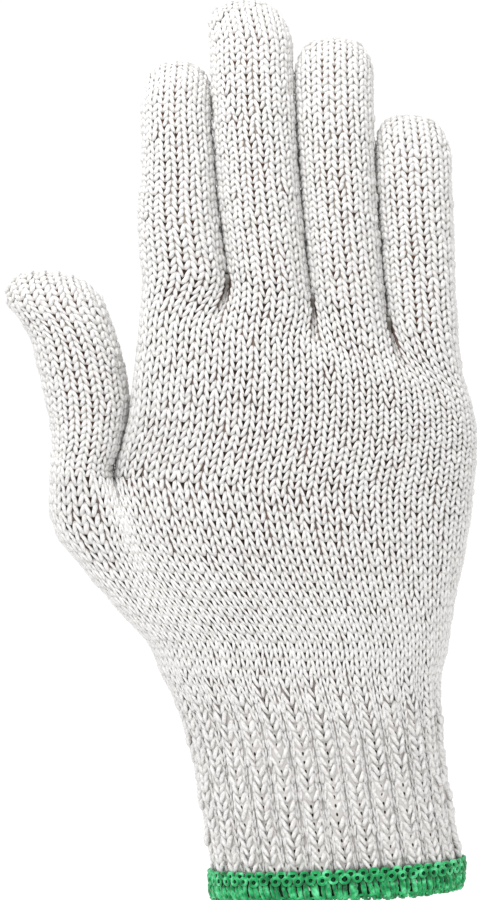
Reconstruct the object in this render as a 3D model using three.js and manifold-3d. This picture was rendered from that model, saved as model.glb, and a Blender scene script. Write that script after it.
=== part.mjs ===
// A seamless string-knit cotton work glove in the form it has on a right hand.
// Millimetres. The origin is the centre of the wrist opening, +Z runs up to the fingertips,
// +Y is the palm side, -Y the back of the hand, and the thumb lies at -X.
// Every piece is a hollow knitted wall: outer loft minus inner loft, cut where the maker
// starts a stall, the cuff or the edge.
import * as THREE from 'three';
import { mergeVertices } from 'three/addons/utils/BufferGeometryUtils.js';
import Module from 'manifold-3d';

const wasm = await Module();
wasm.setup();

// Driving dimensions
const KNIT_WALL = 1.8;
const SEAM_GAP = 0.3;
const FINGER_GAP = 0.5;

const HEM_HEIGHT = 7.6;
const HEM_THICKNESS = 3.4;
const HEM_TILT = 0.052;
const HEM_DIP = 0.03;
const HEM_RIM = 0.45;

const CUFF_LENGTH = 60.4;
const CUFF_WIDTH = 69;
const CUFF_DEPTH = 49;
const RIB_PITCH = 6.6;
const RIB_HEIGHT = 0.9;

const PALM_LENGTH = 98;
const PALM_DEPTH = 44;
const HAND_SHIFT = -10.8;
const KNUCKLE_FALL = 0.267;
const KNUCKLE_ARCH = 1.2;
const STALL_RISE = 1;

const INDEX_WIDTH = 23.9;
const INDEX_LENGTH = 56.8;
const MIDDLE_WIDTH = 22.8;
const MIDDLE_LENGTH = 79.5;
const RING_WIDTH = 20.6;
const RING_LENGTH = 75.2;
const LITTLE_WIDTH = 18.9;
const LITTLE_LENGTH = 59.6;
const FINGER_LEAN = 0.125;
const LEAN_REACH = 67;
const FINGER_CURL = 6;
const FINGER_ROOT = 24;

const THUMB_WIDTH = 24.5;
const THUMB_LENGTH = 58.4;
const THUMB_DEPTH = 22.5;
const THUMB_CROTCH_HEIGHT = 46.3;
const THUMB_CROTCH_OUT = 1.18;
const THUMB_SET_BACK = 7;
const THUMB_TIP_HEIGHT = 8.4;

// The four fingers, from the thumb side: width at the root and length above the knuckle line.
// deep and tip: depth and height of the round tip, as shares of the width.
// tipStep: the step of the tip to the side, as a share of the width.
const FINGERS = [
  {
    name: 'index_finger', width: INDEX_WIDTH, length: INDEX_LENGTH,
    deep: 0.82, tip: 0.51, tipStep: 0.05,
  },
  {
    name: 'middle_finger', width: MIDDLE_WIDTH, length: MIDDLE_LENGTH,
    deep: 0.895, tip: 0.482, tipStep: -0.12,
  },
  {
    name: 'ring_finger', width: RING_WIDTH, length: RING_LENGTH,
    deep: 0.942, tip: 0.563, tipStep: 0,
  },
  {
    name: 'little_finger', width: LITTLE_WIDTH, length: LITTLE_LENGTH,
    deep: 0.931, tip: 0.635, tipStep: -0.03,
  },
];

// Shaft outlines. rise: share of the shaft from the knuckle line to the round tip.
// left and right: distance of each side from the leaning axis, as shares of half the width.
// depth: share of half the depth.
const SHAFTS = {
  index_finger: [
    { rise: 0, left: 0.98, right: 0.98, depth: 1.04 },
    { rise: 0.3, left: 0.93, right: 0.93, depth: 1 },
    { rise: 0.62, left: 0.74, right: 0.92, depth: 0.98 },
    { rise: 1, left: 0.71, right: 0.93, depth: 0.9 },
  ],
  middle_finger: [
    { rise: 0, left: 0.98, right: 0.98, depth: 1.04 },
    { rise: 0.3, left: 1.03, right: 0.96, depth: 1 },
    { rise: 0.62, left: 1.05, right: 0.95, depth: 0.98 },
    { rise: 1, left: 1.09, right: 0.9, depth: 0.9 },
  ],
  ring_finger: [
    { rise: 0, left: 0.98, right: 0.97, depth: 1.04 },
    { rise: 0.3, left: 1, right: 1, depth: 1 },
    { rise: 0.62, left: 1.02, right: 1.01, depth: 0.98 },
    { rise: 1, left: 1.08, right: 1.04, depth: 0.92 },
  ],
  little_finger: [
    { rise: 0, left: 0.98, right: 0.98, depth: 1.04 },
    { rise: 0.3, left: 0.97, right: 1.09, depth: 1 },
    { rise: 0.62, left: 0.95, right: 1.18, depth: 0.98 },
    { rise: 1, left: 0.97, right: 1.25, depth: 0.92 },
  ],
};

// Cuff sections. rise: share of the cuff's length. shift: share of the hand's sideways shift.
// spread: how far the section has gone from the cuff's size to the palm's base.
const CUFF_ROWS = [
  { rise: 0, shift: 0.03, spread: 0 },
  { rise: 0.3, shift: 0.32, spread: 0.05 },
  { rise: 0.58, shift: 0.56, spread: 0.15 },
  { rise: 0.76, shift: 0.76, spread: 0.36 },
  { rise: 0.87, shift: 0.91, spread: 0.64 },
  { rise: 1, shift: 1, spread: 1 },
];

// Palm sections. rise: share of the palm's length. left and right: shares of half the width
// over the four finger roots. back and front: shares of half the palm's depth.
// slant: share of the knuckle line's fall that the section has taken up.
// square: how square the section is, 2 being an ellipse.
const PALM_ROWS = [
  { rise: 0, left: 0.939, right: 0.936, back: 0.95, front: 1.02, slant: 0, square: 2.3 },
  { rise: 0.14, left: 1.11, right: 0.986, back: 0.86, front: 1, slant: 0, square: 2.3 },
  { rise: 0.25, left: 1.17, right: 1.034, back: 0.81, front: 0.96, slant: 0.05, square: 2.3 },
  { rise: 0.37, left: 1.19, right: 1.075, back: 0.77, front: 0.9, slant: 0.15, square: 2.3 },
  { rise: 0.48, left: 1.153, right: 1.097, back: 0.75, front: 0.83, slant: 0.3, square: 2.4 },
  { rise: 0.59, left: 1.078, right: 1.115, back: 0.73, front: 0.76, slant: 0.45, square: 2.5 },
  { rise: 0.7, left: 1.044, right: 1.12, back: 0.7, front: 0.69, slant: 0.65, square: 2.7 },
  { rise: 0.81, left: 1.01, right: 1.09, back: 0.64, front: 0.62, slant: 0.85, square: 3 },
  { rise: 0.915, left: 0.995, right: 1.02, back: 0.54, front: 0.54, slant: 1, square: 3.4 },
];

// Thumb sections, each across the thumb from its outer side (out) to its palm side (in).
// Across: shares of the thumb's width from the crotch. Up: shares of its length from the crotch.
// depth: share of half the depth. set: share of the thumb's step back from the hand's middle.
const THUMB_ROWS = [
  { outAcross: 0.55, outUp: -0.83, inAcross: 1.6, inUp: -0.66, depth: 1.0, set: 0.1 },
  { outAcross: 0.16, outUp: -0.66, inAcross: 1.36, inUp: -0.45, depth: 1.28, set: 0.4 },
  { outAcross: -0.24, outUp: -0.475, inAcross: 1.0, inUp: -0.3, depth: 1.42, set: 0.65 },
  { outAcross: -0.62, outUp: -0.28, inAcross: 0.6, inUp: -0.16, depth: 1.4, set: 0.85 },
  { outAcross: -0.73, outUp: -0.16, inAcross: 0.26, inUp: -0.07, depth: 1.25, set: 0.95 },
  { outAcross: -0.72, outUp: 0.01, inAcross: -0.01, inUp: 0.02, depth: 1.08, set: 1 },
  { outAcross: -0.7, outUp: 0.2, inAcross: 0.08, inUp: 0.167, depth: 1.0, set: 1 },
  { outAcross: -0.78, outUp: 0.39, inAcross: 0.175, inUp: 0.367, depth: 1.0, set: 1 },
  { outAcross: -0.87, outUp: 0.557, inAcross: 0.125, inUp: 0.524, depth: 0.98, set: 0.97 },
  { outAcross: -0.95, outUp: 0.686, inAcross: 0.068, inUp: 0.63, depth: 0.98, set: 0.92 },
  { outAcross: -1.08, outUp: 0.775, inAcross: -0.02, inUp: 0.748, depth: 0.96, set: 0.9 },
  { outAcross: -1.24, outUp: 0.857, inAcross: -0.115, inUp: 0.85, depth: 0.92, set: 0.88 },
];

// How square the other sections and the round tips are
const CUFF_SQUARENESS = 2.1;
const FINGER_SQUARENESS = 2.2;
const TIP_SQUARENESS = 2.6;
const THUMB_TIP_SQUARENESS = 2.2;
const WEB_SQUARENESS = 2;

// How much of its width a finger's loft keeps at its foot inside the palm, and where the
// round tips and the web end in a small flat, as shares of their rise
const ROOT_SHARE = 0.8;
const DOME_SHARE = 0.995;
const WEB_SHARE = 0.99;

// Facets round each outer loft, facets of the inner ones, and rings along each loft
const FINGER_FACETS = 22;
const INNER_FACETS = 14;
const PALM_FACETS = 32;
const PALM_INNER_FACETS = 20;
const CUFF_INNER_FACETS = 28;
const HEM_FACETS = 40;
const TIP_RINGS = 4;
const SHAFT_RINGS = 4;
const CUFF_RINGS = 5;
const HEM_RINGS = 6;
const RIB_STEPS = 4;

// Sizes that follow from the driving ones
const CUFF_BASE = HEM_HEIGHT + SEAM_GAP;
const PALM_BASE = CUFF_BASE + CUFF_LENGTH;
const KNUCKLE_HEIGHT = PALM_BASE + PALM_LENGTH;
const rootsWidth = FINGERS.reduce((sum, finger) => sum + finger.width + FINGER_GAP, -FINGER_GAP);
const PALM_HALF = rootsWidth / 2;
const THUMB_CROTCH = new THREE.Vector2(
  HAND_SHIFT - THUMB_CROTCH_OUT * PALM_HALF, PALM_BASE + THUMB_CROTCH_HEIGHT);

// Height of the knuckle line, where the webs between the fingers lie
function knuckleLine(x) {
  const offset = (x - HAND_SHIFT) / PALM_HALF;
  return KNUCKLE_HEIGHT - KNUCKLE_FALL * (x - HAND_SHIFT) - KNUCKLE_ARCH * offset * offset;
}

// One closed section: a squared ellipse whose four half axes may differ
function sectionRing({ x, y, z, left, right, back, front, square, facets, heightAt, swell }) {
  const ring = [];
  for (let i = 0; i < facets; i += 1) {
    const angle = (i / facets) * Math.PI * 2;
    const cos = Math.cos(angle);
    const sin = Math.sin(angle);
    const grow = swell ? swell(i, facets) : 0;
    const across = (cos < 0 ? left : right) + grow;
    const deep = (sin < 0 ? back : front) + grow;
    const px = x + Math.sign(cos) * across * Math.abs(cos) ** (2 / square);
    const py = y + Math.sign(sin) * deep * Math.abs(sin) ** (2 / square);
    ring.push(new THREE.Vector3(px, py, heightAt ? heightAt(px, py) : z));
  }
  return ring;
}

// A closed loft through rings with equal numbers of points, its ends closed by flat fans
function loft(rings) {
  const count = rings[0].length;
  const points = rings.flat();
  const faces = [];
  for (let r = 0; r < rings.length - 1; r += 1) {
    for (let i = 0; i < count; i += 1) {
      const next = (i + 1) % count;
      const a = r * count + i;
      const b = r * count + next;
      faces.push(a, b, b + count, a, b + count, a + count);
    }
  }
  const middleOf = (ring) => ring.reduce((sum, p) => sum.add(p), new THREE.Vector3())
    .divideScalar(ring.length);
  const low = points.push(middleOf(rings[0])) - 1;
  const high = points.push(middleOf(rings.at(-1))) - 1;
  const top = (rings.length - 1) * count;
  for (let i = 0; i < count; i += 1) {
    const next = (i + 1) % count;
    faces.push(low, next, i);
    faces.push(high, top + i, top + next);
  }
  const geometry = new THREE.BufferGeometry().setFromPoints(points);
  geometry.setIndex(faces);
  return toSolid(geometry);
}

function toSolid(geometry) {
  const merged = mergeVertices(geometry, 1e-4);
  const vertProperties = new Float32Array(merged.attributes.position.array);
  const triVerts = new Uint32Array(merged.index.array);
  return new wasm.Manifold(new wasm.Mesh({ numProp: 3, vertProperties, triVerts }));
}

function toGeometry(solid) {
  const { vertProperties, triVerts } = solid.getMesh();
  const geometry = new THREE.BufferGeometry();
  geometry.setAttribute('position', new THREE.BufferAttribute(vertProperties, 3));
  geometry.setIndex(new THREE.BufferAttribute(triVerts, 1));
  return geometry;
}

// Smooth values between the rows of a table, by the value of one of its columns
function smoothRows(rows, key, places) {
  const columns = Object.keys(rows[0]);
  const stops = rows.map((row) => row[key]);
  const values = rows.flatMap((row) => columns.map((column) => row[column]));
  const result = new Float32Array(columns.length);
  const curve = new THREE.CubicInterpolant(stops, values, columns.length, result);
  return places.map((place) => {
    curve.evaluate(place);
    return Object.fromEntries(columns.map((column, i) => [column, result[i]]));
  });
}

const evenSteps = (count) => Array.from({ length: count + 1 }, (_, i) => i / count);
const domeFactor = (t, square) => (1 - t ** square) ** (1 / square);

// Where each finger stands: its root on the knuckle line and the webs on both its sides
const places = [];
let edge = HAND_SHIFT - PALM_HALF;
for (const finger of FINGERS) {
  const left = edge - FINGER_GAP / 2;
  const right = edge + finger.width + FINGER_GAP / 2;
  const x = edge + finger.width / 2;
  places.push({ finger, x, left, right, base: knuckleLine(x) });
  edge += finger.width + FINGER_GAP;
}

// A finger's loft, from inside the palm to its round tip, drawn in by inset all round
function fingerLoft(place, inset, facets) {
  const { finger, x, base } = place;
  const half = finger.width / 2;
  const deep = finger.deep * half;
  const tip = finger.tip * finger.width;
  const shaft = finger.length - tip;
  const bend = (up) => FINGER_CURL * Math.max(0, up / finger.length) ** 2;
  const rings = [];
  const addRing = (up, row, factor, step) => {
    const lean = step - FINGER_LEAN * up * (1 - up / (2 * LEAN_REACH));
    rings.push(sectionRing({
      x: x + lean, y: bend(up), z: base + up,
      left: (row.left * half - inset) * factor, right: (row.right * half - inset) * factor,
      back: (row.depth * deep - inset) * factor, front: (row.depth * deep - inset) * factor,
      square: FINGER_SQUARENESS, facets,
    }));
  };
  const rows = smoothRows(SHAFTS[finger.name], 'rise', evenSteps(SHAFT_RINGS));
  addRing(-FINGER_ROOT, rows[0], ROOT_SHARE, 0);
  rows.forEach((row) => addRing(row.rise * shaft, row, 1, 0));
  const last = rows.at(-1);
  const domeHeight = tip - inset;
  for (let i = 1; i < TIP_RINGS; i += 1) {
    const t = Math.sin((i / TIP_RINGS) * (Math.PI / 2));
    addRing(shaft + t * domeHeight, last, domeFactor(t, TIP_SQUARENESS), t * finger.tipStep * finger.width);
  }
  const step = finger.tipStep * finger.width;
  addRing(shaft + DOME_SHARE * domeHeight, last, domeFactor(DOME_SHARE, TIP_SQUARENESS), step);
  return loft(rings);
}

// The thumb's loft: sections laid across it from its outer to its inner side
function thumbLoft(inset, facets) {
  const rings = [];
  const addRing = (out, inner, deep, y, factor, lift) => {
    const middle = out.clone().add(inner).multiplyScalar(0.5);
    const across = inner.clone().sub(middle);
    const half = across.length();
    const along = across.clone().divideScalar(half);
    const normal = new THREE.Vector2(-along.y, along.x);
    const ring = sectionRing({
      x: 0, y, z: 0, left: (half - inset) * factor, right: (half - inset) * factor,
      back: (deep - inset) * factor, front: (deep - inset) * factor,
      square: FINGER_SQUARENESS, facets,
    });
    rings.push(ring.map((p) => new THREE.Vector3(
      middle.x + along.x * p.x + normal.x * lift, p.y, middle.y + along.y * p.x + normal.y * lift)));
  };
  const fromCrotch = (across, up) => new THREE.Vector2(
    THUMB_CROTCH.x + across * THUMB_WIDTH, THUMB_CROTCH.y + up * THUMB_LENGTH);
  const edges = (row) => [fromCrotch(row.outAcross, row.outUp), fromCrotch(row.inAcross, row.inUp)];
  const halfDepth = THUMB_DEPTH / 2;
  THUMB_ROWS.forEach((row) => {
    addRing(...edges(row), row.depth * halfDepth, row.set * THUMB_SET_BACK, 1, 0);
  });
  const last = THUMB_ROWS.at(-1);
  const domeHeight = THUMB_TIP_HEIGHT - inset;
  for (let i = 1; i <= TIP_RINGS; i += 1) {
    const t = Math.min(DOME_SHARE, Math.sin((i / TIP_RINGS) * (Math.PI / 2)));
    const factor = domeFactor(t, THUMB_TIP_SQUARENESS);
    addRing(...edges(last), last.depth * halfDepth, last.set * THUMB_SET_BACK, factor, t * domeHeight);
  }
  return loft(rings);
}

// The palm's loft, closed above by the rounded web along the knuckle line, and reaching
// below its base by extra
function palmLoft(inset, facets, extra) {
  const deep = PALM_DEPTH / 2;
  const rings = [];
  const addRing = (row, factor, height) => {
    rings.push(sectionRing({
      x: HAND_SHIFT, y: 0, left: row.left * PALM_HALF - inset, right: row.right * PALM_HALF - inset,
      back: (row.back * deep - inset) * factor, front: (row.front * deep - inset) * factor,
      square: row.square, facets,
      heightAt: (px) => height + row.slant * (knuckleLine(px) - KNUCKLE_HEIGHT),
    }));
  };
  if (extra > 0) {
    addRing(PALM_ROWS[0], 1, PALM_BASE - extra);
  }
  PALM_ROWS.forEach((row) => addRing(row, 1, PALM_BASE + row.rise * PALM_LENGTH));
  const last = PALM_ROWS.at(-1);
  const from = PALM_BASE + last.rise * PALM_LENGTH;
  const rise = KNUCKLE_HEIGHT - inset - from;
  for (let i = 1; i <= TIP_RINGS; i += 1) {
    const t = Math.min(WEB_SHARE, Math.sin((i / TIP_RINGS) * (Math.PI / 2)));
    addRing(last, domeFactor(t, WEB_SQUARENESS), from + t * rise);
  }
  return loft(rings);
}

// The sizes where the palm meets the cuff, and the tilted plane of the wrist opening
const palmBaseHalf = ((PALM_ROWS[0].left + PALM_ROWS[0].right) / 2) * PALM_HALF;
const palmBaseBack = PALM_ROWS[0].back * (PALM_DEPTH / 2);
const palmBaseFront = PALM_ROWS[0].front * (PALM_DEPTH / 2);
const hemPlane = (x, y) => HEM_TILT * x - HEM_DIP * y;

function cuffSection(row, inset, facets, swell, height, tilt, square) {
  const mix = THREE.MathUtils.lerp;
  return sectionRing({
    x: HAND_SHIFT * row.shift, y: 0,
    left: mix(CUFF_WIDTH / 2, palmBaseHalf, row.spread) - inset,
    right: mix(CUFF_WIDTH / 2, palmBaseHalf, row.spread) - inset,
    back: mix(CUFF_DEPTH / 2, palmBaseBack, row.spread) - inset,
    front: mix(CUFF_DEPTH / 2, palmBaseFront, row.spread) - inset,
    square, facets, swell,
    heightAt: (px, py) => height + tilt * hemPlane(px, py),
  });
}

const cuffSquareness = (row) => THREE.MathUtils.lerp(CUFF_SQUARENESS, PALM_ROWS[0].square, row.spread);

// The cuff's loft, reaching past both its ends by extra
function cuffLoft(inset, facets, swell, extra) {
  const rows = smoothRows(CUFF_ROWS, 'rise', evenSteps(CUFF_RINGS));
  const rings = rows.map((row) => {
    const height = CUFF_BASE + row.rise * CUFF_LENGTH;
    return cuffSection(row, inset, facets, swell, height, 1 - row.rise, cuffSquareness(row));
  });
  if (extra > 0) {
    const [foot, top] = [rows[0], rows.at(-1)];
    const low = CUFF_BASE - extra;
    const high = PALM_BASE + extra;
    rings.unshift(cuffSection(foot, inset, facets, swell, low, 1, cuffSquareness(foot)));
    rings.push(cuffSection(top, inset, facets, swell, high, 0, cuffSquareness(top)));
  }
  return loft(rings);
}

// The one by one rib of the cuff: an even count of raised and sunken wales round the wrist
function ribSwell(i) {
  return (RIB_HEIGHT / 2) * (Math.cos((i / RIB_STEPS) * Math.PI * 2) - 1);
}

const cuffGirth = Math.PI * ((CUFF_WIDTH + CUFF_DEPTH) / 2);
const ribFacets = Math.round(cuffGirth / RIB_PITCH) * RIB_STEPS;

// The overlocked edge: a thick round roll of yarn that stands proud of the cuff
const hemSeat = KNIT_WALL / 2;

function hemSection(inset, height) {
  const foot = CUFF_ROWS[0];
  return cuffSection(foot, inset, HEM_FACETS, null, height, 1, cuffSquareness(foot));
}

function hemLoft() {
  return loft(evenSteps(HEM_RINGS).map((t) => {
    const round = Math.sqrt(Math.max(0, 1 - (2 * t - 1) ** 2));
    const bulge = (HEM_THICKNESS / 2) * THREE.MathUtils.lerp(HEM_RIM, 1, round);
    return hemSection(hemSeat - bulge, t * HEM_HEIGHT);
  }));
}

// The inside of the roll reaches past both its rims, so that the ring is open
function hemHole() {
  const inset = hemSeat + HEM_THICKNESS / 2;
  return loft([hemSection(inset, -HEM_HEIGHT), hemSection(inset, 2 * HEM_HEIGHT)]);
}

// The plane across a stall, as a direction and a distance from the origin
function stallPlane(from, to, shift) {
  const along = new THREE.Vector2().subVectors(to, from).normalize();
  const normal = new THREE.Vector3(-along.y, 0, along.x);
  const offset = normal.x * from.x + normal.z * from.y + shift;
  return [[normal.x, normal.y, normal.z], offset];
}

const above = (solid, from, to, shift) => solid.trimByPlane(...stallPlane(from, to, shift));
function below(solid, from, to, shift) {
  const [normal, offset] = stallPlane(from, to, shift);
  return solid.trimByPlane(normal.map((n) => -n), -offset);
}

const stalls = places.map((place) => ({
  name: place.finger.name,
  outer: fingerLoft(place, 0, FINGER_FACETS),
  inner: fingerLoft(place, KNIT_WALL, INNER_FACETS),
  from: new THREE.Vector2(place.left, knuckleLine(place.left) + STALL_RISE),
  to: new THREE.Vector2(place.right, knuckleLine(place.right) + STALL_RISE),
}));
stalls.push({
  name: 'thumb',
  outer: thumbLoft(0, FINGER_FACETS),
  inner: thumbLoft(KNIT_WALL, INNER_FACETS),
  from: new THREE.Vector2(THUMB_CROTCH.x - THUMB_WIDTH, THUMB_CROTCH.y + STALL_RISE),
  to: new THREE.Vector2(THUMB_CROTCH.x, THUMB_CROTCH.y + STALL_RISE),
});

// The palm takes the lower end of each stall, and the stall keeps the rest
const palmBottom = [new THREE.Vector2(0, PALM_BASE), new THREE.Vector2(1, PALM_BASE)];
let palmOuter = palmLoft(0, PALM_FACETS, 0);
let palmInner = palmLoft(KNIT_WALL, PALM_INNER_FACETS, KNIT_WALL);
for (const stall of stalls) {
  const foot = below(stall.outer, stall.from, stall.to, -SEAM_GAP / 2);
  palmOuter = palmOuter.add(above(foot, ...palmBottom, 0));
  palmInner = palmInner.add(stall.inner);
}
const palmShell = above(palmOuter.subtract(palmInner), ...palmBottom, SEAM_GAP / 2);

const ribCuff = cuffLoft(0, ribFacets, ribSwell, 0)
  .subtract(cuffLoft(KNIT_WALL + RIB_HEIGHT, CUFF_INNER_FACETS, null, CUFF_BASE));
const hemRing = hemLoft().subtract(hemHole());

// Materials from the photographed finish
const cotton = (roughness) => new THREE.MeshStandardMaterial({ color: 0xe6e4e0, roughness, metalness: 0 });
const materials = {
  knit: () => cotton(0.92),
  rib: () => cotton(0.95),
  green: () => new THREE.MeshStandardMaterial({ color: 0x18a45a, roughness: 0.85, metalness: 0 }),
};

const glove = new THREE.Group();
glove.name = 'cotton_work_glove';

function addPiece(name, solid, material) {
  const mesh = new THREE.Mesh(toGeometry(solid), material);
  mesh.name = name;
  glove.add(mesh);
}

addPiece('palm_shell', palmShell, materials.knit());
for (const stall of stalls) {
  const skin = above(stall.outer, stall.from, stall.to, SEAM_GAP / 2).subtract(stall.inner);
  addPiece(stall.name, skin, materials.knit());
}
addPiece('rib_cuff', below(ribCuff, ...palmBottom, -SEAM_GAP / 2), materials.rib());
addPiece('overlock_edge', hemRing, materials.green());

export default glove;
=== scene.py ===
"""A seamless string-knit cotton work glove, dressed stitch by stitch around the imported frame.

Sizes are in millimetres and become metres where a mesh is made. +Z runs up to the fingertips,
-Y is the back of the hand, +Y the palm side, and the thumb lies at -X.
"""
import math

import bpy
import numpy as np
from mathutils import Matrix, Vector


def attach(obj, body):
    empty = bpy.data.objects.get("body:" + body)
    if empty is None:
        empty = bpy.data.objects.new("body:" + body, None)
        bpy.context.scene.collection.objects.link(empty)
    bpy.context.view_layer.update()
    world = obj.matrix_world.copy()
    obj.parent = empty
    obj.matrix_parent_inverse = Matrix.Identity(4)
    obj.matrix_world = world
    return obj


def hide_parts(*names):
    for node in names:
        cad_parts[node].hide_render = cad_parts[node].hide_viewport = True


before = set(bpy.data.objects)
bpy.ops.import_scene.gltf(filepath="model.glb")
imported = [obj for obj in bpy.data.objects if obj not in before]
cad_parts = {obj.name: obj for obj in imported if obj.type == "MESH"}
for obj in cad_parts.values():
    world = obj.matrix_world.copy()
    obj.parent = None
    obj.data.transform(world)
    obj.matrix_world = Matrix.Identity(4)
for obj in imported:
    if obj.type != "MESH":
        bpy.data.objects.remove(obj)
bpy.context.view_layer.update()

MM = 0.001
TINY = 1e-9
BACK, PALM = -1, 1           # the two faces of the hand, as the sign of their side of Y
RANDOM_SEED = 7
random = np.random.default_rng(RANDOM_SEED)

# The glove's sizes, the same as in the part's source
SEAM_GAP = 0.3
FINGER_GAP = 0.5
HEM_HEIGHT = 7.6
HEM_TILT = 0.052
HEM_DIP = 0.03
CUFF_LENGTH = 60.4
CUFF_WIDTH = 69
CUFF_DEPTH = 49
PALM_LENGTH = 98
PALM_DEPTH = 44
HAND_SHIFT = -10.8
KNUCKLE_FALL = 0.267
KNUCKLE_ARCH = 1.2
STALL_RISE = 1
FINGER_LEAN = 0.125
LEAN_REACH = 67
FINGER_CURL = 6
THUMB_WIDTH = 24.5
THUMB_LENGTH = 58.4
THUMB_DEPTH = 22.5
THUMB_CROTCH_HEIGHT = 46.3
THUMB_CROTCH_OUT = 1.18
THUMB_SET_BACK = 7
THUMB_TIP_HEIGHT = 8.4
CUFF_SQUARENESS = 2.1
FINGER_SQUARENESS = 2.2
TIP_SQUARENESS = 2.6

# The four fingers from the thumb side. wales: columns of stitches on each face.
FINGERS = [
    {"name": "index_finger", "width": 23.9, "length": 56.8, "depth": 19.6, "tip": 12.2,
     "tip_step": 0.05, "wales": 9},
    {"name": "middle_finger", "width": 22.8, "length": 79.5, "depth": 20.4, "tip": 11,
     "tip_step": -0.12, "wales": 10},
    {"name": "ring_finger", "width": 20.6, "length": 75.2, "depth": 19.4, "tip": 11.6,
     "tip_step": 0, "wales": 9},
    {"name": "little_finger", "width": 18.9, "length": 59.6, "depth": 17.6, "tip": 12,
     "tip_step": -0.03, "wales": 8},
]

# Shaft outlines: rise along the shaft, left and right as shares of half the width, and depth as
# a share of half the depth
SHAFTS = {
    "index_finger": [(0, 0.98, 0.98, 1.04), (0.3, 0.93, 0.93, 1), (0.62, 0.74, 0.92, 0.98),
                     (1, 0.71, 0.93, 0.9)],
    "middle_finger": [(0, 0.98, 0.98, 1.04), (0.3, 1.03, 0.96, 1), (0.62, 1.05, 0.95, 0.98),
                      (1, 1.09, 0.9, 0.9)],
    "ring_finger": [(0, 0.98, 0.97, 1.04), (0.3, 1, 1, 1), (0.62, 1.02, 1.01, 0.98),
                    (1, 1.08, 1.04, 0.92)],
    "little_finger": [(0, 0.98, 0.98, 1.04), (0.3, 0.97, 1.09, 1), (0.62, 0.95, 1.18, 0.98),
                      (1, 0.97, 1.25, 0.92)],
}

# Cuff sections: rise, shift and spread
CUFF_ROWS = [(0, 0.03, 0), (0.3, 0.32, 0.05), (0.58, 0.56, 0.15), (0.76, 0.76, 0.36),
             (0.87, 0.91, 0.64), (1, 1, 1)]

# Palm sections: rise, left, right, back, front, slant, square
PALM_ROWS = [
    (0, 0.939, 0.936, 0.95, 1.02, 0, 2.3),
    (0.14, 1.11, 0.986, 0.86, 1, 0, 2.3),
    (0.25, 1.17, 1.034, 0.81, 0.96, 0.05, 2.3),
    (0.37, 1.19, 1.075, 0.77, 0.9, 0.15, 2.3),
    (0.48, 1.153, 1.097, 0.75, 0.83, 0.3, 2.4),
    (0.59, 1.078, 1.115, 0.73, 0.76, 0.45, 2.5),
    (0.7, 1.044, 1.12, 0.7, 0.69, 0.65, 2.7),
    (0.81, 1.01, 1.09, 0.64, 0.62, 0.85, 3),
    (0.915, 0.995, 1.02, 0.54, 0.54, 1, 3.4),
]

# Thumb sections: out_across, out_up, in_across, in_up, depth, set
THUMB_ROWS = [
    (0.55, -0.83, 1.6, -0.66, 1.0, 0.1),
    (0.16, -0.66, 1.36, -0.45, 1.28, 0.4),
    (-0.24, -0.475, 1.0, -0.3, 1.42, 0.65),
    (-0.62, -0.28, 0.6, -0.16, 1.4, 0.85),
    (-0.73, -0.16, 0.26, -0.07, 1.25, 0.95),
    (-0.72, 0.01, -0.01, 0.02, 1.08, 1),
    (-0.7, 0.2, 0.08, 0.167, 1.0, 1),
    (-0.78, 0.39, 0.175, 0.367, 1.0, 1),
    (-0.87, 0.557, 0.125, 0.524, 0.98, 0.97),
    (-0.95, 0.686, 0.068, 0.63, 0.98, 0.92),
    (-1.08, 0.775, -0.02, 0.748, 0.96, 0.9),
    (-1.24, 0.857, -0.115, 0.85, 0.92, 0.88),
]

PALM_HALF = (sum(f["width"] for f in FINGERS) + FINGER_GAP * (len(FINGERS) - 1)) / 2
CUFF_BASE = HEM_HEIGHT + SEAM_GAP
PALM_BASE = CUFF_BASE + CUFF_LENGTH
KNUCKLE_HEIGHT = PALM_BASE + PALM_LENGTH
THUMB_CROTCH_X = HAND_SHIFT - THUMB_CROTCH_OUT * PALM_HALF
THUMB_CROTCH_Z = PALM_BASE + THUMB_CROTCH_HEIGHT

# The knit. Wales are its columns of stitches and courses its rows.
THUMB_WALES = 10
FINGER_COURSE = 1.95         # height of a course on the stalls
CUFF_COURSES = 25
LOWER_COURSES = 19           # courses from the cuff to the thumb's crotch
UPPER_COURSES = 26           # courses from the thumb's crotch to the webs
CROTCH_RISE = 0.45           # share of the palm's length where the thumb's stall begins
RIBS = 14                    # ribs on each face of the cuff
RIB_WALES = 3                # wales in a rib
RIB_FACE = 0.66              # share of a rib taken by its raised wale
RIB_CREST = 0.5              # place of a rib's crest, in wales
RIB_DEPTH = 1.9
RIB_START, RIB_END = 40, 70  # heights between which the ribs fade out


# Camera, floor and light

PHOTO_SCALE = 0.278          # millimetres to a pixel of the photograph
PHOTO_MIDDLE = (238.5, 450)
PHOTO_AXIS_X, PHOTO_RIM_Y = 338, 893
PHOTO_HEIGHT = 900
LENS, SENSOR = 150, 36
WORLD_STRENGTH = 1.02

# The floor and the light, in metres
FLOOR_DROP, FLOOR_SIZE = 0.07, 12
FLOOR_LOOK = {"Base Color": (0.95, 0.95, 0.95, 1), "Roughness": 0.9,
              "Emission Color": (1, 1, 1, 1), "Emission Strength": 0.12}
KEY_PLACE, KEY_TARGET = (-0.17, -0.25, 0.51), (-0.02, 0, 0.16)
KEY_SIZE, KEY_POWER = 0.25, 1.4


def add_object(name, data):
    thing = bpy.data.objects.new(name, data)
    bpy.context.scene.collection.objects.link(thing)
    return thing


def new_material(name, look):
    """A material with the look's values at its shader's inputs."""
    material = bpy.data.materials.new(name)
    material.use_nodes = True
    shader = material.node_tree.nodes["Principled BSDF"]
    for socket, value in look.items():
        shader.inputs[socket].default_value = value
    return material, material.node_tree, shader


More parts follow.
